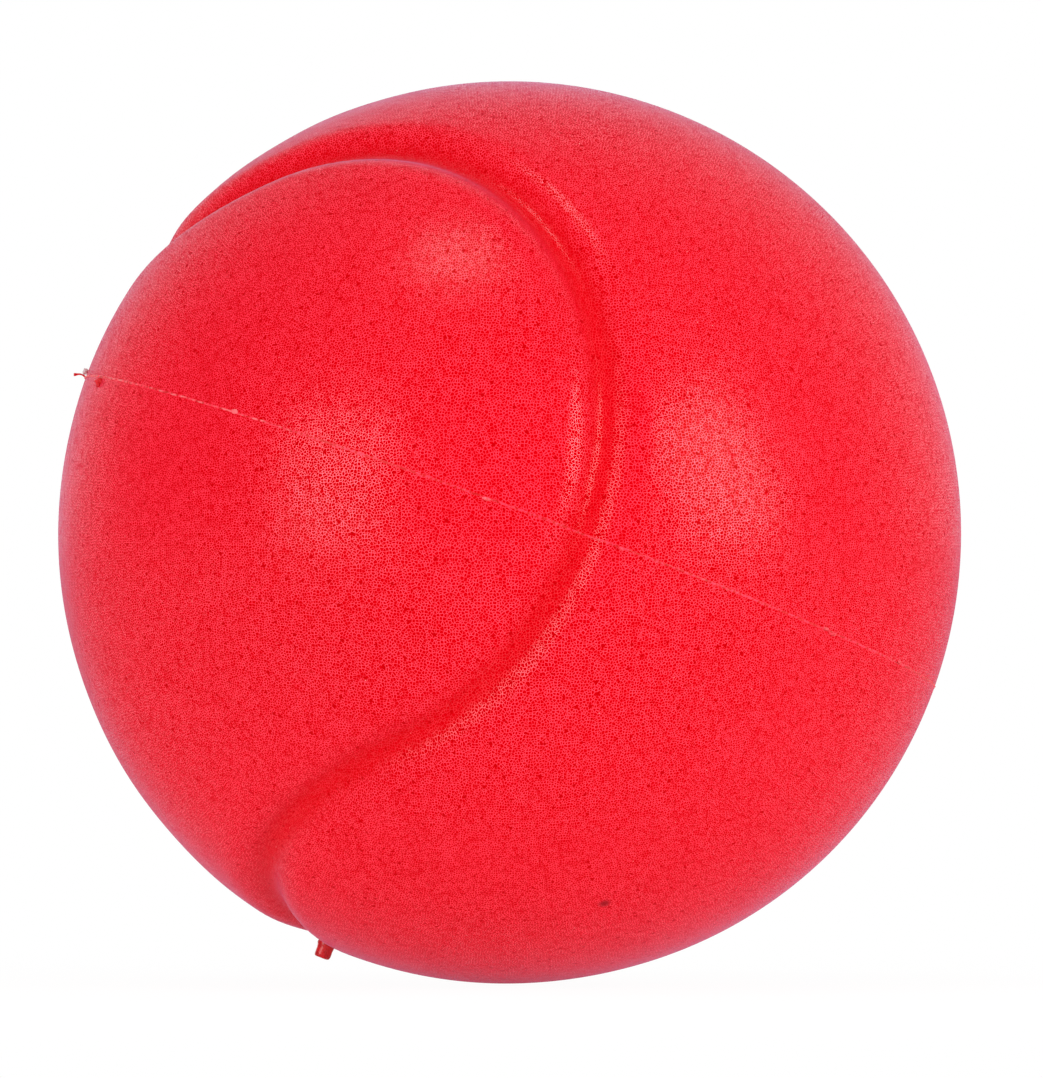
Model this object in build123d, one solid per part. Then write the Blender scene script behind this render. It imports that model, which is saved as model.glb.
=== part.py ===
from build123d import *
from math import acos, atan, cos, degrees, radians, sin, sqrt
import os

# A soft foam ball, foamed in one shot in a two-part mould, lying as it is seen.
# +Z is up, +X is to the right and +Y points away from the viewer. The origin is the ball's centre.
# Lengths are in millimetres and angles in degrees.

# Ball
BALL_DIAMETER = 90.0
SKIN_THICKNESS = 0.8

# Channel: a closed curve of four arcs, like the seam of a tennis ball
CHANNEL_DEPTH = 1.7
CHANNEL_FLOOR_RADIUS = 2.4
CHANNEL_LIP_RADIUS = 5.5
CHANNEL_LIP_RISE = 0.02         # height of the lip's circle above the ball, for a clean edge where they cross
CHANNEL_LOBE_LIFT = -1.0        # angle from the channel's middle plane up to a lobe's axis, towards its tip
CHANNEL_ANGLES = (49.5, 56.0, -24.9)

# Mould: its parting plane goes through the ball's centre
MOULD_ANGLES = (-3.3, 20.0, 0.0)

# Ridge of flash along the parting plane
FLASH_WIDTH = 0.3
FLASH_HEIGHT = 0.25

# Stub left in the mould's vent, parallel to the mould's axis
PIP_DIAMETER = 1.65
PIP_HEIGHT = 1.3
PIP_EDGE_RADIUS = 0.25
PIP_OFFSET_X = -3.1
PIP_OFFSET_Y = 0.4

# Torn thread of flash that stands off the ridge
STRAND_ANGLE = -177.4           # place round the mould's axis
STRAND_DIAMETER = 0.2
STRAND_RISE = 0.35              # length that stands straight off the ridge
STRAND_BEND_RADIUS = 0.5
STRAND_BEND_ANGLE = 70.0
STRAND_KNOB_DIAMETER = 0.36

# Lumps on the ridge and beside it: place round the mould's axis, height above the parting plane, diameter
CRUMB_ANGLES = (-176.5, -162.5, -129.4, -92.9, -75.0, -43.0, -41.6, -25.0)
CRUMB_HEIGHTS = (0.5, -0.6, 0.1, -0.1, -0.1, 0.1, -0.1, 0.1)
CRUMB_DIAMETERS = (0.7, 0.9, 0.7, 0.65, 0.6, 0.6, 0.8, 0.7)

BALL_RADIUS = BALL_DIAMETER / 2
CENTRE = Vector(0, 0, 0)
CHANNEL_POSE = Location((0, 0, 0), CHANNEL_ANGLES)
MOULD_POSE = Location((0, 0, 0), MOULD_ANGLES)
LOBES = 4
REACH = 2 * BALL_DIAMETER       # larger than anything that is cut or kept


def direction(azimuth, elevation):
    """Unit vector at an azimuth and elevation in degrees."""
    level = cos(radians(elevation))
    return Vector(level * cos(radians(azimuth)), level * sin(radians(azimuth)), sin(radians(elevation)))


def arc_about(centre, radius, start, end):
    """Shorter arc round a centre, from the direction of one vector to that of another."""
    middle = (start.normalized() + end.normalized()).normalized()
    points = [centre + way.normalized() * radius for way in (start, middle, end)]
    return ThreePointArc(*points)


def mirrored(point):
    """A point of the channel's section, on the other side of the channel."""
    return Vector(-point.X, point.Y)


def channel_section(offset):
    """Outline of the space above the channel's surface moved outwards by an offset.

    X runs across the channel and Y away from the ball's centre. The floor and the two lips are arcs that
    meet tangentially, and the lid lies clear of the ball.
    """
    floor_centre = Vector(0, BALL_RADIUS - CHANNEL_DEPTH + CHANNEL_FLOOR_RADIUS)
    floor_radius = CHANNEL_FLOOR_RADIUS - offset
    lip_radius = CHANNEL_LIP_RADIUS + offset
    lip_reach = BALL_RADIUS - CHANNEL_LIP_RADIUS + CHANNEL_LIP_RISE
    apart = CHANNEL_FLOOR_RADIUS + CHANNEL_LIP_RADIUS
    lip_angle = acos((lip_reach**2 + floor_centre.Y**2 - apart**2) / (2 * lip_reach * floor_centre.Y))
    lip_centre = Vector(lip_reach * sin(lip_angle), lip_reach * cos(lip_angle))

    wall = lip_centre - floor_centre
    rim = lip_centre.normalized() * (lip_reach + lip_radius)
    lid = rim + rim.normalized() * lip_radius
    floor = arc_about(floor_centre, floor_radius, mirrored(wall), wall)
    right_lip = arc_about(lip_centre, lip_radius, wall * -1, lip_centre)
    left_lip = arc_about(mirrored(lip_centre), lip_radius, mirrored(lip_centre), mirrored(wall) * -1)
    roof = Polyline(rim, lid, mirrored(lid), mirrored(rim))
    return make_face([floor, right_lip, roof, left_lip])


def channel_cutters(offset):
    """The four lobes of the channel, each a section turned about its lobe's axis through the ball's centre.

    Neighbouring lobes meet on the channel's middle plane, where both run the same way.
    """
    section = channel_section(offset)
    lobe_arc = 2 * (90 + degrees(atan(sin(radians(CHANNEL_LOBE_LIFT)))))
    step = 360 / LOBES
    cutters = []
    for lobe in range(LOBES):
        side = 1 if lobe % 2 == 0 else -1
        lobe_axis = direction((lobe + 0.5) * step, side * CHANNEL_LOBE_LIFT)
        start = direction(lobe * step, 0)
        across = (lobe_axis - start * lobe_axis.dot(start)).normalized()
        plane = Plane(origin=CENTRE, x_dir=across, z_dir=across.cross(start))
        turn = Axis(CENTRE, lobe_axis * -side)
        cutters.append(revolve(plane * section, axis=turn, revolution_arc=lobe_arc))
    return cutters


def grooved_ball(offset):
    """The ball with its channel, its whole surface moved outwards by an offset."""
    return CHANNEL_POSE * (Sphere(BALL_RADIUS + offset) - channel_cutters(offset))


def above(height):
    """All of space above a height on the mould's axis."""
    return MOULD_POSE * Pos(0, 0, height + REACH / 2) * Box(REACH, REACH, REACH)


def below(height):
    """All of space below a height on the mould's axis."""
    return MOULD_POSE * Pos(0, 0, height - REACH / 2) * Box(REACH, REACH, REACH)


def pip_stub():
    """The vent's stub from the ball's middle plane down to its rounded tip."""
    ball_drop = sqrt(BALL_RADIUS**2 - PIP_OFFSET_X**2 - PIP_OFFSET_Y**2)
    length = ball_drop + PIP_HEIGHT
    stub = Cylinder(PIP_DIAMETER / 2, length, align=(Align.CENTER, Align.CENTER, Align.MAX))
    tip = stub.edges().sort_by(Axis.Z)[0]
    return MOULD_POSE * Pos(PIP_OFFSET_X, PIP_OFFSET_Y, 0) * fillet(tip, PIP_EDGE_RADIUS)


def at_parting(angle, height, carrier):
    """Place on a carrier's surface near the parting line: X points outwards and Z along the mould's axis."""
    axis = MOULD_POSE * Rot(0, 0, angle) * Pos(0, 0, height)
    ray = axis * Line((0, 0, 0), (REACH, 0, 0))
    reach = sum(edge.length for edge in (ray & carrier).edges())
    return axis * Pos(reach, 0, 0)


def thread():
    """The strand: it leaves the ridge, bends down and ends in a small knob."""
    start = Vector(-FLASH_HEIGHT, 0, 0)
    bend = Vector(STRAND_RISE, 0, 0)
    root = Line(start, bend)
    swing = radians(STRAND_BEND_ANGLE)
    centre = bend - Vector(0, 0, STRAND_BEND_RADIUS)
    half = Vector(sin(swing / 2), 0, cos(swing / 2)) * STRAND_BEND_RADIUS
    full = Vector(sin(swing), 0, cos(swing)) * STRAND_BEND_RADIUS
    hook = ThreePointArc(bend, centre + half, centre + full)
    tube = sweep(Plane(start, z_dir=(1, 0, 0)) * Circle(STRAND_DIAMETER / 2), path=Wire([root, hook]))
    knob = Pos(*(centre + full)) * Sphere(STRAND_KNOB_DIAMETER / 2)
    return at_parting(STRAND_ANGLE, 0, ridge_ball) * (tube + knob)


def crumb(angle, height, size):
    """A lump of torn flash, on the ridge's crest or, where it lies beside the ridge, on the skin."""
    carrier = ridge_ball if abs(height) < FLASH_WIDTH / 2 else ball
    pole_out = Rot(0, 90, 0)
    lump = at_parting(angle, height, carrier) * pole_out * Sphere(size / 2)
    return lump - flash - ball


os.makedirs("parts", exist_ok=True)

core = grooved_ball(-SKIN_THICKNESS)
ball = grooved_ball(0)
ridge_ball = grooved_ball(FLASH_HEIGHT)
shell = ball - core
stub = pip_stub()
upper_skin = shell & above(FLASH_WIDTH / 2)
lower_skin = (shell & below(-FLASH_WIDTH / 2)) - stub
flash = (ridge_ball - core) & above(-FLASH_WIDTH / 2) & below(FLASH_WIDTH / 2)
crumb_sizes = zip(CRUMB_ANGLES, CRUMB_HEIGHTS, CRUMB_DIAMETERS)

nodes = {
    "foam_core": core,
    "upper_skin": upper_skin,
    "lower_skin": lower_skin,
    "parting_flash": flash,
    "vent_pip": stub - core,
    "flash_strand": thread() - ridge_ball,
    "flash_crumbs": Compound(children=[crumb(*lump) for lump in crumb_sizes]),
}
for name, solid in nodes.items():
    export_step(solid, f"parts/{name}.step")
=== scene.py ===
from math import acos, atan2, cos, pi, radians, sin, sqrt

import bpy
import numpy as np
from bpy.props import FloatProperty, FloatVectorProperty, PointerProperty
from mathutils import Matrix, Vector, noise


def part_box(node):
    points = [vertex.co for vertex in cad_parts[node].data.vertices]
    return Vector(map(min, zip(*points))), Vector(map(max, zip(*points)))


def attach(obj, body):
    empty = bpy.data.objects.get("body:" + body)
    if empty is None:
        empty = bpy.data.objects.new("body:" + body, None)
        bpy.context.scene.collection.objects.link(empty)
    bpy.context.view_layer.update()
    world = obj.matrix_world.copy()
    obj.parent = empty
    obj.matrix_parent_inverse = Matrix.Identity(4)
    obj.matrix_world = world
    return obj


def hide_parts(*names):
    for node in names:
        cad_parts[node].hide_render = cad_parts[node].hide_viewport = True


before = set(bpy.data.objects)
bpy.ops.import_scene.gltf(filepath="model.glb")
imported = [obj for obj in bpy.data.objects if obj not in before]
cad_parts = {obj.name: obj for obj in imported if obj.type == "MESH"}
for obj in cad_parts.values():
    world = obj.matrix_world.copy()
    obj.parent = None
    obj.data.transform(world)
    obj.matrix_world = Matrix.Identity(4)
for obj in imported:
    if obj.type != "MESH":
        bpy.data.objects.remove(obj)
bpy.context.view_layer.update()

bl_info = {
    "name": "Foam throwing ball",
    "version": (1, 0, 0),
    "blender": (4, 5, 0),
    "location": "3D View > Sidebar > Foam Ball",
    "description": "Models a moulded foam ball, its mould line and its stub around the packed frame",
    "category": "Object",
}

# Lengths are in metres, with +X to the right, +Y away from the viewer and +Z up. The origin is the ball's centre.
MM = 0.001
CORE_LOW, CORE_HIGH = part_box("foam_core")
SKIN_THICKNESS_MM = 0.8
BALL_RADIUS_MM = (CORE_HIGH.z - CORE_LOW.z) / 2 / MM + SKIN_THICKNESS_MM
LOBES = 4
QUARTER = pi / 2
FILM_NAME = "torn_film"

# The view: a picture of this many pixels, in which the ball's outline has this centre and radius
PICTURE_WIDTH = 1043
PICTURE_HEIGHT = 1078
OUTLINE_X = 509.5
OUTLINE_Y = 532.8
OUTLINE_RADIUS = 451.6

# Swells of the soft ball's outline: angle clockwise from +X for the viewer, height, width as an angle
SWELLS = (
    (42.0, 0.14 * MM, 24.0),
    (80.0, -0.12 * MM, 16.0),
    (118.0, 0.16 * MM, 5.0),
    (128.0, 0.22 * MM, 9.0),
    (147.0, 0.1 * MM, 9.0),
    (191.0, -0.06 * MM, 10.0),
    (221.0, 0.12 * MM, 4.0),
    (232.0, 0.1 * MM, 7.0),
    (246.0, 0.08 * MM, 5.0),
)

# A dark pinhole at the lower front, painted shade on the skin where the mesh has no hole: its place, and the
# distances from it between which it fades
PINHOLE = (9.36 * MM, -24.7 * MM, -36.45 * MM)
PINHOLE_INNER = 0.1 * MM
PINHOLE_OUTER = 0.9 * MM

# Squares along one side of the cube that each ball starts from
OUTSIDE_SQUARES = 160
LINING_SQUARES = 48
CORE_SQUARES = 72
CORE_CLEARANCE = 0.02 * MM

# Cut along the parting plane: points this near to it are moved onto it first
CUT_REACH = 0.1 * MM
CUT_THRESHOLD = 0.0001 * MM

# Corners that stay sharp turn by more than this
SKIN_SMOOTHING = radians(40)
STUB_SMOOTHING = radians(50)

# Depths in the channel, as shares of its full depth, between which painted shade darkens the skin towards the
# channel's floor, and how far that painted shade darkens its colour and dims its gloss
HOLLOW_START = 0.3
HOLLOW_END = 0.9
HOLLOW_SHADE = 0.75
HOLLOW_GLOSS_SHADE = 0.2

# Pores of the skin: shares of their pitch, and the share of the UV map that a face of the cube takes
FACE_SHARE = 0.25
WALL_LEAST = 0.025
WALL_SPREAD = 0.115
WALL_PATCH = 0.01
PORE_EDGE = 0.035
LARGE_PITCH = 1.25 * MM
LARGE_SPREAD = 0.45
LARGE_CUT = 0.28
LARGE_EDGE = 0.03
# Specks: painted glints on the skin, with their pitch, the spread and cut of their size as shares of it, their
# edge, and how far the glint colour covers them
SPECK_PITCH = 3.0 * MM
SPECK_SPREAD = 0.055
SPECK_CUT = 0.043
SPECK_EDGE = 0.004
SPECK_TINT = 0.8

# Mould line: its steps round the ball, its overlap with the skin, how far its crest and its lean stay alike in
# steps, how the crest's uneven values are stretched and cut, and how far it leans in widths
FLASH_STEPS = 2400
FLASH_SEED = 11
FLASH_OVERLAP = 0.01 * MM
CREST_REACH = 1.5
CREST_GAIN = 2.2
CREST_CUT = 0.6
CREST_LEAST = 0.05
LEAN_REACH = 5.0
LEAN_WIDTHS = 1.5

# Section of the mould line: angle from its crest, share of its height or, below 0, of the skin's thickness,
# share of its half width
FLASH_SECTION = (
    (0, 1.0, 0.0),
    (30, 0.25, 0.35),
    (60, 0.0, 1.0),
    (90, -0.3, 1.0),
    (120, -0.6, 1.0),
    (150, -0.9, 1.0),
    (180, -1.0, 0.0),
)

# Points of that section with a larger share than this stand off the skin
LEAST_STANDING = 0.1

# Height of the ragged flash round the mould's axis: angle, share of its full height
FLASH_SHARES = (
    (-180, 0.9), (-121, 0.9), (-117, 0.05), (-99, 0.05), (-96, 0.5), (-87, 0.4), (-83, 0.05), (-78, 0.7),
    (-74, 0.5), (-70, 0.1), (-66, 0.7), (-58, 0.6), (-54, 0.1), (-46, 0.2), (-24, 0.4), (60, 0.5), (180, 0.7),
)

# Lumps of torn flash: place round the mould's axis, height above the parting plane, lift off the skin,
# diameter, stretch along the line, paleness
CRUMBS = (
    (-177.0, 0.55 * MM, 0.25 * MM, 0.6 * MM, 1.0, 1.0),
    (-162.5, -0.6 * MM, 0.0, 0.9 * MM, 1.0, 0.0),
    (-129.4, 0.1 * MM, 0.0, 0.6 * MM, 1.3, 0.6),
    (-92.9, -0.1 * MM, 0.0, 0.5 * MM, 1.7, 0.55),
    (-75.0, -0.1 * MM, 0.0, 0.5 * MM, 1.5, 0.4),
    (-43.0, 0.1 * MM, 0.0, 0.5 * MM, 1.7, 0.45),
    (-41.6, -0.1 * MM, 0.0, 0.65 * MM, 1.8, 0.4),
    (-25.0, 0.1 * MM, 0.0, 0.55 * MM, 1.5, 0.4),
)

# Unevenness of the lumps: its waves per metre, its share of the radius, and the step from one lump's pattern to
# the next one's. A lump without paleness is a solid bit with this share of the stub's colour.
LUMP_WAVES = 5000
LUMP_UNEVENNESS = 0.45
LUMP_APART = 7.3
DEEP_LUMP = 0.8

# Course of the torn thread from its root: distance out from the skin, height, share of its radius
STRAND_ROUTE = (
    (-0.3 * MM, 0.0 * MM, 1.6),
    (0.0 * MM, 0.02 * MM, 1.3),
    (0.2 * MM, 0.1 * MM, 0.9),
    (0.45 * MM, 0.16 * MM, 0.8),
    (0.7 * MM, 0.12 * MM, 0.85),
    (0.95 * MM, 0.0 * MM, 1.1),
    (1.1 * MM, -0.08 * MM, 1.7),
    (1.22 * MM, -0.12 * MM, 1.5),
)

# Share of the stub's colour in the thread
DEEP_STRAND = 0.8

# Outline of the stub from its root to its tip: height above the skin, share of its radius
STUB_RINGS = (
    (-0.7 * MM, 1.0),
    (-0.1 * MM, 1.12),
    (0.12 * MM, 1.03),
    (0.4 * MM, 0.99),
    (0.9 * MM, 1.0),
    (1.12 * MM, 0.98),
    (1.25 * MM, 0.9),
    (1.3 * MM, 0.76),
)

# Stub: points round it, the ring inside its tip, and its unevenness in waves per metre and in height
STUB_POINTS = 40
STUB_TIP_INSET = 0.2 * MM
STUB_SEED = 4
STUB_WAVES = 900
STUB_UNEVENNESS = 0.05 * MM

# Softboxes: name, outline, direction from the ball, width and height in metres, turn, setting of its radiance
SOFTBOXES = (
    ("right_softbox", "RECTANGLE", (0.78, -0.56, 0.24), 0.42, 0.56, 22, "right_lamp"),
    ("left_softbox", "RECTANGLE", (-0.69, -0.69, 0.22), 0.44, 0.52, 0, "left_lamp"),
    ("top_softbox", "ELLIPSE", (-0.17, -0.27, 0.95), 0.3, 0.26, 0, "top_lamp"),
)

# Floor: its size, its gap below the ball, the distances between which it turns plain white, and how much darker
# the gloss shows it
FLOOR_SIZE = 12
FLOOR_GAP = 0.2 * MM
FLOOR_NEAR = 0.06
FLOOR_FAR = 0.25
FLOOR_DIMMING = 0.4

# Surroundings as the gloss shows them: the room in front is lighter upwards and to the right, and it turns white
# behind the ball. The even light comes rather from above and from the front.
ROOM_LIGHTENING = 0.4
ROOM_RIGHT = 0.5
BEHIND_RIGHT = 0.2
BEHIND_START = 0.1
BEHIND_FULL = 0.75
EVEN_ABOVE = 0.5
EVEN_FRONT = 0.5

WHITE = (1, 1, 1, 1)
GREY = (0.8, 0.8, 0.8, 1)
BLACK = (0, 0, 0, 1)


def length(name, description, millimetres):
    """A length that a user may change."""
    return FloatProperty(name=name, description=description, default=millimetres * MM, unit="LENGTH", precision=5)


def angle(name, description, degrees):
    """An angle that a user may change."""
    return FloatProperty(name=name, description=description, default=radians(degrees), unit="ROTATION")


def angles(name, description, degrees):
    """A turn about X, then Y, then Z."""
    turn = [radians(part) for part in degrees]
    return FloatVectorProperty(name=name, description=description, default=turn, subtype="EULER")


def share(name, description, value):
    """A number from 0 to 1."""
    return FloatProperty(name=name, description=description, default=value, min=0, max=1, subtype="FACTOR")


def radiance(name, description, value):
    """Brightness of a lamp."""
    return FloatProperty(name=name, description=description, default=value, min=0)


def colour(name, description, red, green, blue):
    """A linear colour."""
    return FloatVectorProperty(
        name=name, description=description, default=(red, green, blue), min=0, max=1, subtype="COLOR"
    )


class BallSizes(bpy.types.PropertyGroup):
    """Sizes of the ball and of what its mould left on it."""

    ball_radius: length("Ball radius", "Radius of the ball between its channels", BALL_RADIUS_MM)
    skin_thickness: length("Skin thickness", "Thickness of the dense skin", SKIN_THICKNESS_MM)
    channel_depth: length("Channel depth", "Depth of the channel's floor below the ball", 1.7)
    floor_radius: length("Floor radius", "Radius of the channel's floor", 1.9)
    lip_radius: length("Lip radius", "Radius of the channel's lips", 4.8)
    lip_rise: length("Lip rise", "Height of the lip's circle above the ball", 0.02)
    lobe_lift: angle("Lobe lift", "Angle from the channel's middle plane to a lobe's axis", -1.0)
    channel_angles: angles("Channel angles", "Turn of the channel's middle plane", (49.5, 56.0, -24.9))
    mould_angles: angles("Mould angles", "Turn of the mould's parting plane", (-3.3, 20.0, 0.0))
    flash_width: length("Flash width", "Width of the mould line", 0.2)
    flash_height: length("Flash height", "Greatest height of the mould line", 0.25)
    stub_radius: length("Stub radius", "Radius of the vent's stub", 0.825)
    stub_x: length("Stub X", "Place of the stub across the mould's axis", -3.1)
    stub_y: length("Stub Y", "Place of the stub across the mould's axis", 0.4)
    strand_angle: angle("Strand angle", "Place of the torn thread round the mould's axis", -177.4)
    strand_radius: length("Strand radius", "Radius of the torn thread", 0.1)
    pore_pitch: length("Pore pitch", "Distance from one pore to the next", 0.31)


class BallFinish(bpy.types.PropertyGroup):
    """Colours and gloss of the foam."""

    skin: colour("Skin", "Colour of the skin between its pores", 1.0, 0.027, 0.066)
    # Partly painted shade: the two pore colours are the foam's red darkened by the shade down in the pores
    pore: colour("Pore", "Colour seen down in a pore", 0.6, 0.0, 0.003)
    open_pore: colour("Open pore", "Colour seen down in a large pore", 0.52, 0.0, 0.002)
    # Painted shade: this darker red along the channel's floor stands for the shade there, not for denser skin
    groove_shade: colour("Groove", "Colour of the denser skin along the channel's floor", 0.72, 0.0, 0.006)
    # Painted shade: the pinhole's dark colour is painted on the skin
    pinhole: colour("Pinhole", "Colour of the dark pinhole", 0.32, 0.002, 0.006)
    # Painted glint: the colour of the bright specks stands for small glints of light
    glint_speck: colour("Speck", "Colour of the bright specks", 1.0, 0.6, 0.6)
    sheen: colour("Sheen", "Tint of the skin where it is seen at a slant", 0.28, 0.34, 0.58)
    film: colour("Film", "Colour of thin torn flash", 0.95, 0.22, 0.24)
    bleached: colour("Bleached", "Colour of the palest torn flash", 0.6, 0.45, 0.47)
    stub: colour("Stub", "Colour of the solid stub", 0.60, 0.003, 0.008)
    core: colour("Core", "Colour of the open foam inside", 0.85, 0.03, 0.05)
    gloss: share("Gloss", "Strength of the skin's gloss", 1.0)
    gloss_roughness: share("Gloss roughness", "How far the skin's gloss is spread", 0.26)


class BallStage(bpy.types.PropertyGroup):
    """The camera, the lights and the ground."""

    camera_distance: length("Camera distance", "Distance from the camera to the ball's centre", 1800)
    lamp_distance: length("Lamp distance", "Distance from a softbox to the ball's centre", 900)
    ambient: share("Ambient", "Light from all round", 0.4)
    room: share("Room", "Brightness of the room in front of the ball, as its gloss shows it", 0.14)
    floor_glow: share("Floor glow", "Light that the floor gives by itself", 0.35)
    floor_white: share("Floor white", "Share of plain white in the floor as it is seen", 0.95)
    right_lamp: radiance("Right lamp", "Radiance of the right softbox", 6.1)
    left_lamp: radiance("Left lamp", "Radiance of the left softbox", 4.2)
    top_lamp: radiance("Top lamp", "Radiance of the top softbox", 6.2)


def turned(euler):
    """Matrix of a turn about X, then about the turned Y, then about the turned Z."""
    about_x, about_y, about_z = (Matrix.Rotation(turn, 3, axis) for turn, axis in zip(euler, "XYZ"))
    return about_x @ about_y @ about_z


def direction(azimuth, elevation):
    """Unit vector at an azimuth and elevation in radians."""
    return np.array((cos(azimuth) * cos(elevation), sin(azimuth) * cos(elevation), sin(elevation)))


class BallShape:
    """The ball's surface, as a radius for each direction from its centre."""

    def __init__(self, sizes):
        self.sizes = sizes
        self.mould = np.array(turned(sizes.mould_angles))
        self.channel = np.array(turned(sizes.channel_angles))

    def channel_angle(self, ways):
        """Angle from each direction to the channel's middle line, which is four arcs about four lobes."""
        lift = self.sizes.lobe_lift
        arc_radius = acos(cos(lift) / sqrt(2))
        local = ways @ self.channel
        nearest = np.full(len(ways), pi)
        for lobe in range(LOBES):
            side = 1 if lobe % 2 == 0 else -1
            axis = direction((lobe + 0.5) * QUARTER, side * lift)
            away = np.abs(np.arccos(np.clip(local @ axis, -1, 1)) - arc_radius)
            on_side = local[:, 2] * side >= 0
            nearest = np.where(on_side, np.minimum(nearest, away), nearest)
        return nearest

    def swell(self, ways):
        """Height of the soft ball's unevenness."""
        height = np.zeros(len(ways))
        for turn, rise, width in SWELLS:
            middle = direction(0, 0) * cos(radians(turn)) - direction(0, QUARTER) * sin(radians(turn))
            away = np.arccos(np.clip(ways @ middle, -1, 1))
            height += rise * np.exp(-((away / radians(width)) ** 2))
        return height

    def radius(self, ways, offset=0.0):
        """Distance from the centre to the surface moved outwards by an offset."""
        sizes = self.sizes
        ball = sizes.ball_radius + offset
        floor = sizes.floor_radius - offset
        lip = sizes.lip_radius + offset
        floor_reach = sizes.ball_radius - sizes.channel_depth + sizes.floor_radius
        lip_reach = sizes.ball_radius - sizes.lip_radius + sizes.lip_rise
        apart = floor + lip
        lip_angle = acos((lip_reach**2 + floor_reach**2 - apart**2) / (2 * lip_reach * floor_reach))
        along = floor / apart
        wall_x = along * lip_reach * sin(lip_angle)
        wall_y = floor_reach + along * (lip_reach * cos(lip_angle) - floor_reach)
        wall_angle = atan2(wall_x, wall_y)

        away = self.channel_angle(ways)
        floor_drop = np.sqrt(np.maximum(floor**2 - (floor_reach * np.sin(away)) ** 2, 0))
        on_floor = floor_reach * np.cos(away) - floor_drop
        lip_turn = away - lip_angle
        lip_top = np.sqrt(np.maximum(lip**2 - (lip_reach * np.sin(lip_turn)) ** 2, 0))
        on_lip = np.minimum(lip_reach * np.cos(lip_turn) + lip_top, ball)
        reach = np.where(away < wall_angle, on_floor, np.where(away < lip_angle, on_lip, ball))
        return reach + self.swell(ways)

    def channel_shade(self, places):
        """How deep in the channel each place of the surface lies, from 0 on its lips to 1 on its floor, which sets
        the share of painted shade there.
        """
        depth = self.sizes.ball_radius - np.linalg.norm(places, axis=1)
        depth_share = depth / self.sizes.channel_depth
        channel_shade = np.clip((depth_share - HOLLOW_START) / (HOLLOW_END - HOLLOW_START), 0, 1)
        return channel_shade**2 * (3 - 2 * channel_shade)

    def at_parting(self, turn):
        """Direction in the parting plane at an angle round the mould's axis."""
        return self.mould @ direction(turn, 0)


def deselect():
    """Leaves nothing selected."""
    bpy.ops.object.select_all(action="DESELECT")


def points_of(piece):
    """Places of a mesh's points."""
    flat = np.empty(len(piece.data.vertices) * 3)
    piece.data.vertices.foreach_get("co", flat)
    return flat.reshape(-1, 3)


def move_points(piece, places):
    """Moves a mesh's points to new places."""
    piece.data.vertices.foreach_set("co", np.asarray(places).ravel())
    piece.data.update()


def units(places):
    """Directions from the centre to the places."""
    return places / np.linalg.norm(places, axis=1, keepdims=True)


def open_mesh():
    """Opens the active piece's mesh with all of it selected."""
    bpy.ops.object.mode_set(mode="EDIT")
    bpy.ops.mesh.select_all(action="SELECT")


def close_mesh():
    """Leaves the active piece's mesh."""
    bpy.ops.object.mode_set(mode="OBJECT")


def select_only(*pieces):
    """Selects these pieces, the first of them active."""
    deselect()
    for piece in pieces:
        piece.select_set(True)
    bpy.context.view_layer.objects.active = pieces[0]


def joined(pieces):
    """Joins pieces into the first of them."""
    select_only(*pieces)
    bpy.ops.object.join()
    return pieces[0]


def settle(piece, pose):
    """Puts a piece modelled at the origin in its place, and the place in its mesh."""
    piece.matrix_world = pose
    select_only(piece)
    bpy.ops.object.transform_apply(location=True, rotation=True, scale=True)


def hand_over(piece, finish, node):
    """Gives a finished piece its material and its body, and hides the frame's node that it stands for."""
    piece.data.materials.clear()
    piece.data.materials.append(finish)
    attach(piece, "root")
    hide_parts(node)


def cut_ball(name, squares, shape, offset, side=0, gap=0.0):
    """A ball of even squares, or the half of it on one side of the parting plane."""
    deselect()
    bpy.ops.mesh.primitive_cube_add(size=2)
    ball = bpy.context.object
    ball.name = ball.data.name = name
    open_mesh()
    bpy.ops.mesh.subdivide(number_cuts=squares - 1)
    close_mesh()
    move_points(ball, units(np.tan(points_of(ball) * pi / 4)) * shape.sizes.ball_radius)
    if side:
        axis = shape.mould[:, 2] * side
        places = points_of(ball)
        height = places @ axis - gap
        near = np.abs(height) < CUT_REACH
        move_points(ball, places - np.where(near, height, 0)[:, None] * axis)
        open_mesh()
        bpy.ops.mesh.bisect(plane_co=axis * gap, plane_no=axis, clear_inner=True, threshold=CUT_THRESHOLD)
        close_mesh()
    ways = units(points_of(ball))
    move_points(ball, ways * shape.radius(ways, offset)[:, None])
    return ball


def ragged(random, steps, reach):
    """Uneven values from 0 to 1 round a closed line, each stretch about as long as the reach in steps."""
    spread = np.exp(-0.5 * (np.minimum(np.arange(steps), steps - np.arange(steps)) / reach) ** 2)
    waves = np.fft.ifft(np.fft.fft(random.random(steps)) * np.fft.fft(spread)).real
    return (waves - waves.min()) / (waves.max() - waves.min())


class Value:
    """A number in a material, which adds Math nodes when it is reckoned with."""

    def __init__(self, finish, socket):
        self.finish = finish
        self.socket = socket

    def reckon(self, operation, first, second):
        """Adds a Math node."""
        sockets = {"Value": first, "Value_001": second}
        return self.finish.node("ShaderNodeMath", {"operation": operation}, sockets)["Value"]

    def __add__(self, other):
        return self.reckon("ADD", self, other)

    def __sub__(self, other):
        return self.reckon("SUBTRACT", self, other)

    def __rsub__(self, other):
        return self.reckon("SUBTRACT", other, self)

    def __mul__(self, other):
        return self.reckon("MULTIPLY", self, other)

    def highest(self, other):
        """The larger of this number and another."""
        return self.reckon("MAXIMUM", self, other)

    __radd__ = __add__
    __rmul__ = __mul__


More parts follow.
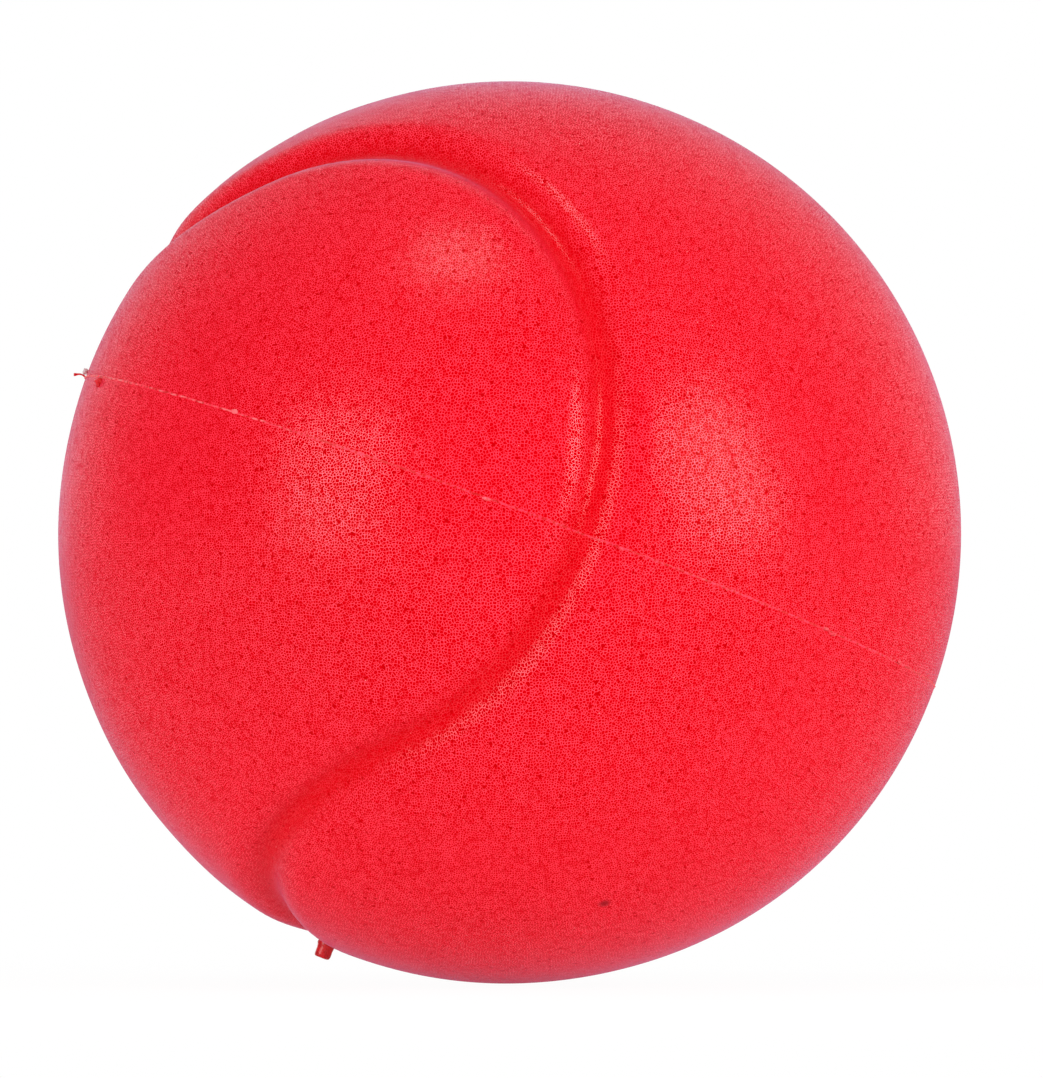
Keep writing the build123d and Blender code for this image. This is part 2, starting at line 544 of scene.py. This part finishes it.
class Finish:
    """A material or a world under construction."""

    def __init__(self, owner):
        owner.use_nodes = True
        self.owner = owner
        self.tree = owner.node_tree
        self.tree.nodes.clear()

    def node(self, kind, settings=None, sockets=None):
        """Adds a node, sets it up, fills or links its sockets, and gives its outputs by identifier."""
        node = self.tree.nodes.new(kind)
        for name, setting in (settings or {}).items():
            setattr(node, name, setting)
        inputs = {socket.identifier: socket for socket in node.inputs}
        for name, value in (sockets or {}).items():
            if isinstance(value, Value):
                self.tree.links.new(value.socket, inputs[name])
            else:
                inputs[name].default_value = value
        return {socket.identifier: Value(self, socket) for socket in node.outputs}

    def ramp(self, value, low, high):
        """0 below the low value, 1 above the high one, and smooth between."""
        sockets = {"Value": value, "From Min": low, "From Max": high}
        return self.node("ShaderNodeMapRange", {"interpolation_type": "SMOOTHSTEP"}, sockets)["Result"]

    def mix(self, amount, first, second):
        """Blend of two colours."""
        sockets = {"Factor_Float": amount, "A_Color": first, "B_Color": second}
        return self.node("ShaderNodeMix", {"data_type": "RGBA"}, sockets)["Result_Color"]

    def spots(self, places, across):
        """Scattered spots: the distance from the nearest one, and a random number for it."""
        sockets = {"Vector": places, "Scale": across}
        spot = self.node("ShaderNodeTexVoronoi", {"voronoi_dimensions": "2D"}, sockets)
        chance = self.node("ShaderNodeSeparateColor", None, {"Color": spot["Color"]})
        return spot["Distance"], chance["Red"]

    def walls(self, places, across):
        """Distance from the walls between the cells of the spots at the same places."""
        settings = {"voronoi_dimensions": "2D", "feature": "DISTANCE_TO_EDGE"}
        return self.node("ShaderNodeTexVoronoi", settings, {"Vector": places, "Scale": across})["Distance"]

    def coordinates(self, kind):
        """Places on the surface, by Object or by UV, or directions in a world."""
        return self.node("ShaderNodeTexCoord")[kind]

    def clouds(self, places, scale, detail):
        """Uneven values about a half."""
        sockets = {"Vector": places, "Scale": scale, "Detail": detail}
        return self.node("ShaderNodeTexNoise", None, sockets)["Fac"]

    def cells(self, places, scale):
        """Distance from the nearest middle of scattered cells."""
        return self.node("ShaderNodeTexVoronoi", None, {"Vector": places, "Scale": scale})["Distance"]

    def carried(self, name):
        """Value that the piece's points carry under a name."""
        return self.node("ShaderNodeAttribute", {"attribute_name": name})["Fac"]

    def relief(self, strength, distance, height):
        """Normal of a surface with a fine relief."""
        sockets = {"Strength": strength, "Distance": distance, "Height": height}
        return self.node("ShaderNodeBump", None, sockets)["Normal"]

    def blend(self, amount, first, second):
        """Blend of two shaders."""
        sockets = {"Fac": amount, "Shader": first, "Shader_001": second}
        return self.node("ShaderNodeMixShader", None, sockets)["Shader"]

    def surface(self, shader):
        """Ends a material with its shader."""
        self.node("ShaderNodeOutputMaterial", None, {"Surface": shader})
        return self.owner


def opaque(rgb):
    """A colour with its alpha."""
    return (*rgb, 1.0)


def new_finish(name):
    """An empty material."""
    return Finish(bpy.data.materials.new(name))


def skin_finish(sizes, looks):
    """Glossy red skin with fine open pores and a few larger ones, partly painted shade down in them, tiny bright
    specks of painted glint, a pinhole of painted shade, and painted shade along the channel's floor.
    """
    finish = new_finish("foam_skin")
    face_across = QUARTER * sizes.ball_radius / FACE_SHARE
    spread = finish.coordinates("UV")
    place = finish.coordinates("Object")

    patch = finish.ramp(finish.clouds(place, 260.0, 3.0), 0.3, 0.7)
    pores_across = face_across / sizes.pore_pitch
    chance = finish.spots(spread, pores_across)[1]
    wall = WALL_LEAST + WALL_SPREAD * chance + WALL_PATCH * patch
    fine = finish.ramp(finish.walls(spread, pores_across) - wall, -PORE_EDGE, PORE_EDGE)
    distance, chance = finish.spots(spread, face_across / LARGE_PITCH)
    large_size = LARGE_SPREAD * chance - LARGE_CUT
    large = 1 - finish.ramp(distance - large_size, -LARGE_EDGE, LARGE_EDGE)
    pores = fine.highest(large)

    # Painted glints: tiny bright specks that lighten the skin's colour
    distance, chance = finish.spots(spread, face_across / SPECK_PITCH)
    glint_size = SPECK_SPREAD * chance - SPECK_CUT
    specks = 1 - finish.ramp(distance - glint_size, -SPECK_EDGE, SPECK_EDGE)

    # Painted shade: the pinhole darkens the skin's colour
    sockets = {"Vector": place, "Vector_001": PINHOLE}
    from_hole = finish.node("ShaderNodeVectorMath", {"operation": "DISTANCE"}, sockets)["Value"]
    pinhole = 1 - finish.ramp(from_hole, PINHOLE_INNER, PINHOLE_OUTER)

    # Painted shade: the skin turns darker red and less glossy towards the channel's floor
    channel_shade = finish.carried("channel_shade")
    shaded_web = finish.mix(HOLLOW_SHADE * channel_shade, opaque(looks.skin), opaque(looks.groove_shade))
    # Partly painted shade: pores and large pores take darker reds for the shade down in them
    pored = finish.mix(pores, shaded_web, opaque(looks.pore))
    opened = finish.mix(large, pored, opaque(looks.open_pore))
    pitted = finish.mix(pinhole, opened, opaque(looks.pinhole))
    shader = finish.node("ShaderNodeBsdfPrincipled", None, {
        "Base Color": finish.mix(SPECK_TINT * specks, pitted, opaque(looks.glint_speck)),
        "Roughness": 0.55 + 0.3 * pores,
        "Specular IOR Level": 0.0,
        "Coat Weight": (1 - pores) * (1 - HOLLOW_GLOSS_SHADE * channel_shade) * looks.gloss,
        "Coat Roughness": looks.gloss_roughness,
        "Coat IOR": 1.5,
        "Sheen Weight": 0.6,
        "Sheen Roughness": 0.3,
        "Sheen Tint": opaque(looks.sheen),
        "Normal": finish.relief(0.2, 0.08 * MM, 1 - pores),
    })["BSDF"]
    return finish.surface(shader)


def film_finish(sizes, looks):
    """Torn flash: red and pored where it lies flat, pale and thin where it stands, or a deep red solid bit."""
    finish = new_finish(FILM_NAME)
    place = finish.coordinates("Object")
    cloud = finish.clouds(place, 2500.0, 3.0)
    pale = finish.carried("pale")
    pores = 1 - finish.ramp(finish.cells(place, 1 / sizes.pore_pitch), 0.42, 0.62)
    # Partly painted shade: the film's pores take the darker pore colour
    flat = finish.mix(pores, opaque(looks.skin), opaque(looks.pore))
    thin = finish.mix(finish.ramp(pale * (0.5 + cloud), 0.25, 0.9), flat, opaque(looks.film))
    bleached = finish.mix(finish.ramp(pale, 0.9, 1.0), thin, opaque(looks.bleached))
    shader = finish.node("ShaderNodeBsdfPrincipled", None, {
        "Base Color": finish.mix(finish.carried("deep"), bleached, opaque(looks.stub)),
        "Roughness": 0.25 + 0.3 * cloud,
        "Specular IOR Level": 0.3,
        "Normal": finish.relief(0.3, 0.05 * MM, cloud),
    })["BSDF"]
    return finish.surface(shader)


def shade(piece, name, values):
    """Gives each point of a piece a value that its material reads by name."""
    piece.data.attributes.new(name, "FLOAT", "POINT").data.foreach_set("value", values)


def stub_finish(looks):
    """Solid glossy foam without pores."""
    finish = new_finish("solid_stub")
    cloud = finish.clouds(finish.coordinates("Object"), 1600.0, 2.0)
    deep = [0.7 * part for part in looks.stub]
    shader = finish.node("ShaderNodeBsdfPrincipled", None, {
        "Base Color": finish.mix(finish.ramp(cloud, 0.3, 0.7), opaque(deep), opaque(looks.stub)),
        "Roughness": 0.2 + 0.15 * cloud,
        "Normal": finish.relief(0.25, 0.06 * MM, cloud),
    })["BSDF"]
    return finish.surface(shader)


def core_finish(looks):
    """Matt open foam inside the ball."""
    finish = new_finish("open_foam")
    strut = finish.ramp(finish.cells(finish.coordinates("Object"), 1800.0), 0.25, 0.6)
    # Partly painted shade: the hollows of the open cells take a darker red
    deep = [0.55 * part for part in looks.core]
    shader = finish.node("ShaderNodeBsdfPrincipled", None, {
        "Base Color": finish.mix(strut, opaque(deep), opaque(looks.core)),
        "Roughness": 0.75 + 0.15 * strut,
        "Normal": finish.relief(0.8, 0.2 * MM, strut),
    })["BSDF"]
    return finish.surface(shader)


def film():
    """The film's material, made once and shared by the pieces of torn flash."""
    scene = bpy.context.scene
    return bpy.data.materials.get(FILM_NAME) or film_finish(scene.foam_ball_sizes, scene.foam_ball_finish)


class FOAMBALL_OT_core(bpy.types.Operator):
    """Models the open foam that fills the skin"""

    bl_idname = "foam_ball.core"
    bl_label = "Foam core"

    def execute(self, context):
        sizes = context.scene.foam_ball_sizes
        core = cut_ball("foam_core_body", CORE_SQUARES, BallShape(sizes), -sizes.skin_thickness - CORE_CLEARANCE)
        select_only(core)
        bpy.ops.object.shade_smooth()
        hand_over(core, core_finish(context.scene.foam_ball_finish), "foam_core")
        return {"FINISHED"}


class FOAMBALL_OT_skins(bpy.types.Operator):
    """Models the two halves of the pored skin, each with its share of the channel"""

    bl_idname = "foam_ball.skins"
    bl_label = "Skin halves"

    def execute(self, context):
        sizes = context.scene.foam_ball_sizes
        shape = BallShape(sizes)
        finish = skin_finish(sizes, context.scene.foam_ball_finish)
        gap = sizes.flash_width / 2
        for node, side in (("upper_skin", 1), ("lower_skin", -1)):
            outside = cut_ball(node + "_foam", OUTSIDE_SQUARES, shape, 0.0, side, gap)
            inside = cut_ball(node + "_lining", LINING_SQUARES, shape, -sizes.skin_thickness, side, gap)
            open_mesh()
            bpy.ops.mesh.flip_normals()
            close_mesh()
            # Share of painted shade along the channel, carried by the outside's points
            shade(outside, "channel_shade", shape.channel_shade(points_of(outside)))
            skin = joined([outside, inside])
            open_mesh()
            bpy.ops.mesh.select_mode(type="EDGE")
            bpy.ops.mesh.select_all(action="DESELECT")
            bpy.ops.mesh.select_non_manifold()
            bpy.ops.mesh.bridge_edge_loops()
            close_mesh()
            select_only(skin)
            bpy.ops.object.shade_smooth_by_angle(angle=SKIN_SMOOTHING)
            hand_over(skin, finish, node)
        return {"FINISHED"}


class FOAMBALL_OT_parting_flash(bpy.types.Operator):
    """Models the ragged ridge that ran out between the mould's halves"""

    bl_idname = "foam_ball.parting_flash"
    bl_label = "Mould line"

    def execute(self, context):
        sizes = context.scene.foam_ball_sizes
        shape = BallShape(sizes)
        stations, out_shares, side_shares = zip(*FLASH_SECTION)
        deselect()
        bpy.ops.mesh.primitive_circle_add(
            vertices=2 * len(FLASH_SECTION) - 2,
            radius=sizes.flash_width,
            location=(sizes.ball_radius, 0, 0),
            rotation=(QUARTER, 0, 0),
        )
        ridge = bpy.context.object
        ridge.name = ridge.data.name = "parting_flash_ridge"
        bpy.ops.object.transform_apply(location=True, rotation=True, scale=True)
        open_mesh()
        bpy.ops.mesh.spin(steps=FLASH_STEPS, angle=2 * pi, center=(0, 0, 0), axis=(0, 0, 1), use_auto_merge=True)
        bpy.ops.mesh.select_all(action="SELECT")
        bpy.ops.mesh.normals_make_consistent(inside=False)
        close_mesh()
        start = points_of(ridge)
        turn = np.arctan2(start[:, 1], start[:, 0])
        section = np.arctan2(start[:, 2], np.hypot(start[:, 0], start[:, 1]) - sizes.ball_radius)
        step = np.round(turn / (2 * pi) * FLASH_STEPS).astype(int) % FLASH_STEPS

        random = np.random.default_rng(FLASH_SEED)
        height_share = np.interp(np.degrees(turn), *zip(*FLASH_SHARES))
        crest = CREST_GAIN * ragged(random, FLASH_STEPS, CREST_REACH)[step] - CREST_CUT
        torn = height_share * np.clip(crest, CREST_LEAST, 1)
        lean = (ragged(random, FLASH_STEPS, LEAN_REACH)[step] - 0.5) * LEAN_WIDTHS * sizes.flash_width
        outward = np.interp(np.abs(section), np.radians(stations), out_shares)
        sideways = np.interp(np.abs(section), np.radians(stations), side_shares)
        standing = outward > LEAST_STANDING

        flat = np.stack([np.cos(turn), np.sin(turn), np.zeros(len(turn))], 1)
        ways = flat @ shape.mould.T
        rise = np.where(standing, outward * torn * sizes.flash_height, outward * sizes.skin_thickness)
        half_width = sizes.flash_width / 2 + FLASH_OVERLAP
        across = sideways * np.sign(section) * half_width + lean * torn * standing
        move_points(ridge, ways * (shape.radius(ways) + rise)[:, None] + across[:, None] * shape.mould[:, 2])
        shade(ridge, "pale", np.where(standing, torn, 0))
        hand_over(ridge, film(), "parting_flash")
        return {"FINISHED"}


class FOAMBALL_OT_strand(bpy.types.Operator):
    """Models the torn thread that stands off the mould line"""

    bl_idname = "foam_ball.strand"
    bl_label = "Torn thread"

    def execute(self, context):
        sizes = context.scene.foam_ball_sizes
        shape = BallShape(sizes)
        deselect()
        bpy.ops.curve.primitive_nurbs_path_add()
        line = bpy.context.object
        spline = line.data.splines[0]
        spline.points.add(len(STRAND_ROUTE) - len(spline.points))
        for point, (out, up, thickness) in zip(spline.points, STRAND_ROUTE):
            point.co = (out, 0, up, 1)
            point.radius = thickness
        spline.order_u = 3
        spline.use_endpoint_u = True
        line.data.bevel_depth = sizes.strand_radius
        line.data.bevel_resolution = 4
        line.data.use_fill_caps = True
        bpy.ops.object.convert(target="MESH")
        strand = bpy.context.object
        strand.name = strand.data.name = "flash_strand_thread"
        way = shape.at_parting(sizes.strand_angle)
        foot = shape.radius(way[None, :])[0]
        turn = Matrix.Rotation(sizes.strand_angle, 4, "Z") @ Matrix.Translation((foot, 0, 0))
        settle(strand, turned(sizes.mould_angles).to_4x4() @ turn)
        shade(strand, "deep", np.full(len(strand.data.vertices), DEEP_STRAND))
        bpy.ops.object.shade_smooth()
        hand_over(strand, film(), "flash_strand")
        return {"FINISHED"}


class FOAMBALL_OT_crumbs(bpy.types.Operator):
    """Models the lumps of torn flash on the mould line and beside it"""

    bl_idname = "foam_ball.crumbs"
    bl_label = "Torn lumps"

    def execute(self, context):
        sizes = context.scene.foam_ball_sizes
        shape = BallShape(sizes)
        lumps = []
        for seed, (turn, height, lift, size, stretch, paleness) in enumerate(CRUMBS):
            deselect()
            bpy.ops.mesh.primitive_ico_sphere_add(subdivisions=4, radius=size / 2)
            lump = bpy.context.object
            places = points_of(lump)
            apart = Vector((seed * LUMP_APART, 0, 0))
            wave = np.array([noise.noise(Vector(place) * LUMP_WAVES + apart) for place in places])
            uneven = places * (1 + LUMP_UNEVENNESS * wave)[:, None]
            move_points(lump, uneven * (1, stretch, 1 / stretch))
            way = shape.mould @ np.array((cos(radians(turn)), sin(radians(turn)), height / sizes.ball_radius))
            foot = shape.radius(units(way[None, :]))[0] + lift
            beside = Matrix.Rotation(radians(turn), 4, "Z") @ Matrix.Translation((foot, 0, height))
            settle(lump, turned(sizes.mould_angles).to_4x4() @ beside)
            shade(lump, "pale", np.full(len(places), paleness))
            shade(lump, "deep", np.full(len(places), DEEP_LUMP * (paleness == 0)))
            lumps.append(lump)
        crumbs = joined(lumps)
        crumbs.name = crumbs.data.name = "flash_crumb_lumps"
        bpy.ops.object.shade_smooth()
        hand_over(crumbs, film(), "flash_crumbs")
        return {"FINISHED"}


class FOAMBALL_OT_stub(bpy.types.Operator):
    """Models the short stub left in the mould's vent"""

    bl_idname = "foam_ball.stub"
    bl_label = "Vent stub"

    def execute(self, context):
        sizes = context.scene.foam_ball_sizes
        drop = sqrt(sizes.ball_radius**2 - sizes.stub_x**2 - sizes.stub_y**2)
        deselect()
        bpy.ops.mesh.primitive_circle_add(vertices=STUB_POINTS, radius=sizes.stub_radius, fill_type="NGON")
        stub = bpy.context.object
        stub.name = stub.data.name = "vent_pip_stub"
        open_mesh()
        height, scale = STUB_RINGS[0]
        for next_height, next_scale in STUB_RINGS[1:]:
            move = {"value": (0, 0, height - next_height)}
            bpy.ops.mesh.extrude_region_move(TRANSFORM_OT_translate=move)
            grow = next_scale / scale
            bpy.ops.transform.resize(value=(grow, grow, 1))
            height, scale = next_height, next_scale
        bpy.ops.mesh.inset(thickness=STUB_TIP_INSET)
        bpy.ops.mesh.select_all(action="SELECT")
        bpy.ops.mesh.normals_make_consistent(inside=False)
        close_mesh()
        places = points_of(stub)
        noise.seed_set(STUB_SEED)
        wave = np.array([noise.noise_vector(Vector(place) * STUB_WAVES) for place in places])
        move_points(stub, places + wave * STUB_UNEVENNESS)
        root = Matrix.Translation((sizes.stub_x, sizes.stub_y, -drop - STUB_RINGS[0][0]))
        settle(stub, turned(sizes.mould_angles).to_4x4() @ root)
        bpy.ops.object.shade_smooth_by_angle(angle=STUB_SMOOTHING)
        hand_over(stub, stub_finish(context.scene.foam_ball_finish), "vent_pip")
        return {"FINISHED"}


def softbox(name, outline, toward, distance, wide, high, spin, brightness):
    """An area light that faces the ball."""
    place = Vector(toward).normalized() * distance
    aim = (-place).to_track_quat("-Z", "Y").to_matrix() @ Matrix.Rotation(radians(spin), 3, "Z")
    bpy.ops.object.light_add(type="AREA", location=place, rotation=aim.to_euler())
    lamp = bpy.context.object
    lamp.name = lamp.data.name = name
    lamp.data.shape = outline
    lamp.data.size = wide
    lamp.data.size_y = high
    area = wide * high * (pi / 4 if outline == "ELLIPSE" else 1)
    lamp.data.energy = brightness * pi * area
    lamp.visible_camera = False


class FOAMBALL_OT_stage(bpy.types.Operator):
    """Sets up the camera, the softboxes, the white surroundings and the floor"""

    bl_idname = "foam_ball.stage"
    bl_label = "Stage"

    def execute(self, context):
        sizes = context.scene.foam_ball_sizes
        stage = context.scene.foam_ball_stage
        deselect()
        self.add_camera(context, sizes, stage)
        for name, outline, toward, wide, high, spin, setting in SOFTBOXES:
            softbox(name, outline, toward, stage.lamp_distance, wide, high, spin, getattr(stage, setting))
        self.add_world(context, stage)
        self.add_floor(sizes, stage)
        context.scene.view_settings.view_transform = "Standard"
        return {"FINISHED"}

    def add_camera(self, context, sizes, stage):
        """The camera looks level along +Y, and a small sidestep sets the ball where the picture has it."""
        pixel = sizes.ball_radius / OUTLINE_RADIUS
        right = (PICTURE_WIDTH / 2 - OUTLINE_X) * pixel
        down = (PICTURE_HEIGHT / 2 - OUTLINE_Y) * pixel
        bpy.ops.object.camera_add(location=(right, -stage.camera_distance, -down), rotation=(QUARTER, 0, 0))
        camera = bpy.context.object
        outline_slope = sizes.ball_radius / sqrt(stage.camera_distance**2 - sizes.ball_radius**2)
        half_slope = outline_slope * PICTURE_HEIGHT / 2 / OUTLINE_RADIUS
        camera.data.lens = camera.data.sensor_width / 2 / half_slope
        camera.data.clip_end = 100
        context.scene.camera = camera

    def add_world(self, context, stage):
        """Plain white as it is seen, dim in front of the ball and white behind it for gloss, even for the rest."""
        context.scene.world = bpy.data.worlds.new("white_room")
        finish = Finish(context.scene.world)
        way = finish.coordinates("Generated")
        parts = finish.node("ShaderNodeSeparateXYZ", None, {"Vector": way})
        ray = finish.node("ShaderNodeLightPath")
        front = stage.room + ROOM_LIGHTENING * finish.ramp(parts["Z"] + ROOM_RIGHT * parts["X"], 0.0, 1.0)
        behind = finish.ramp(parts["Y"] + BEHIND_RIGHT * parts["X"], BEHIND_START, BEHIND_FULL)
        gloss = front + (1 - front) * behind
        shown = ray["Is Camera Ray"].highest(ray["Is Transmission Ray"])
        even = stage.ambient * (1 + EVEN_ABOVE * parts["Z"] - EVEN_FRONT * parts["Y"])
        unseen = ray["Is Glossy Ray"] * (gloss - even) + even
        strength = shown + (1 - shown) * unseen
        sockets = {"Color": WHITE, "Strength": strength}
        light = finish.node("ShaderNodeBackground", None, sockets)["Background"]
        finish.node("ShaderNodeOutputWorld", None, {"Surface": light})

    def add_floor(self, sizes, stage):
        """A wide pale floor under the ball, seen from above only."""
        deselect()
        bpy.ops.mesh.primitive_plane_add(size=FLOOR_SIZE, location=(0, 0, -sizes.ball_radius - FLOOR_GAP))
        floor = bpy.context.object
        floor.name = floor.data.name = "floor"
        finish = new_finish("floor_white")
        ray = finish.node("ShaderNodeLightPath")
        place = finish.coordinates("Object")
        away = finish.node("ShaderNodeVectorMath", {"operation": "LENGTH"}, {"Vector": place})["Value"]
        white_share = stage.floor_white + (1 - stage.floor_white) * finish.ramp(away, FLOOR_NEAR, FLOOR_FAR)
        shown = ray["Is Camera Ray"].highest(ray["Is Transmission Ray"]) * white_share
        bare = finish.node("ShaderNodeBsdfDiffuse", None, {"Color": GREY})["BSDF"]
        sockets = {"Color": WHITE, "Strength": stage.floor_glow}
        glow = finish.node("ShaderNodeEmission", None, sockets)["Emission"]
        lit = finish.node("ShaderNodeAddShader", None, {"Shader": bare, "Shader_001": glow})["Shader"]
        dark = finish.node("ShaderNodeBsdfDiffuse", None, {"Color": BLACK})["BSDF"]
        matt = finish.blend(FLOOR_DIMMING * ray["Is Glossy Ray"], lit, dark)
        white = finish.node("ShaderNodeEmission", None, {"Color": WHITE, "Strength": 1.0})["Emission"]
        below = finish.node("ShaderNodeNewGeometry")["Backfacing"]
        clear = finish.node("ShaderNodeBsdfTransparent")["BSDF"]
        floor.data.materials.append(finish.surface(finish.blend(below, finish.blend(shown, matt, white), clear)))


OPERATORS = (
    FOAMBALL_OT_core,
    FOAMBALL_OT_skins,
    FOAMBALL_OT_parting_flash,
    FOAMBALL_OT_strand,
    FOAMBALL_OT_crumbs,
    FOAMBALL_OT_stub,
    FOAMBALL_OT_stage,
)


class FOAMBALL_PT_panel(bpy.types.Panel):
    """Lists the pieces of the foam ball and their settings"""

    bl_idname = "FOAMBALL_PT_panel"
    bl_label = "Foam Ball"
    bl_space_type = "VIEW_3D"
    bl_region_type = "UI"
    bl_category = "Foam Ball"

    def draw(self, context):
        scene = context.scene
        for step in OPERATORS:
            self.layout.operator(step.bl_idname)
        for settings in (scene.foam_ball_sizes, scene.foam_ball_finish, scene.foam_ball_stage):
            box = self.layout.box()
            for name in settings.__annotations__:
                box.prop(settings, name)


CLASSES = (BallSizes, BallFinish, BallStage, *OPERATORS, FOAMBALL_PT_panel)


def register():
    for part in CLASSES:
        bpy.utils.register_class(part)
    bpy.types.Scene.foam_ball_sizes = PointerProperty(type=BallSizes)
    bpy.types.Scene.foam_ball_finish = PointerProperty(type=BallFinish)
    bpy.types.Scene.foam_ball_stage = PointerProperty(type=BallStage)


def unregister():
    del bpy.types.Scene.foam_ball_stage
    del bpy.types.Scene.foam_ball_finish
    del bpy.types.Scene.foam_ball_sizes
    for part in reversed(CLASSES):
        bpy.utils.unregister_class(part)


def main():
    register()
    bpy.ops.foam_ball.core()
    bpy.ops.foam_ball.skins()
    bpy.ops.foam_ball.parting_flash()
    bpy.ops.foam_ball.strand()
    bpy.ops.foam_ball.crumbs()
    bpy.ops.foam_ball.stub()
    bpy.ops.foam_ball.stage()


if __name__ == "__main__":
    main()
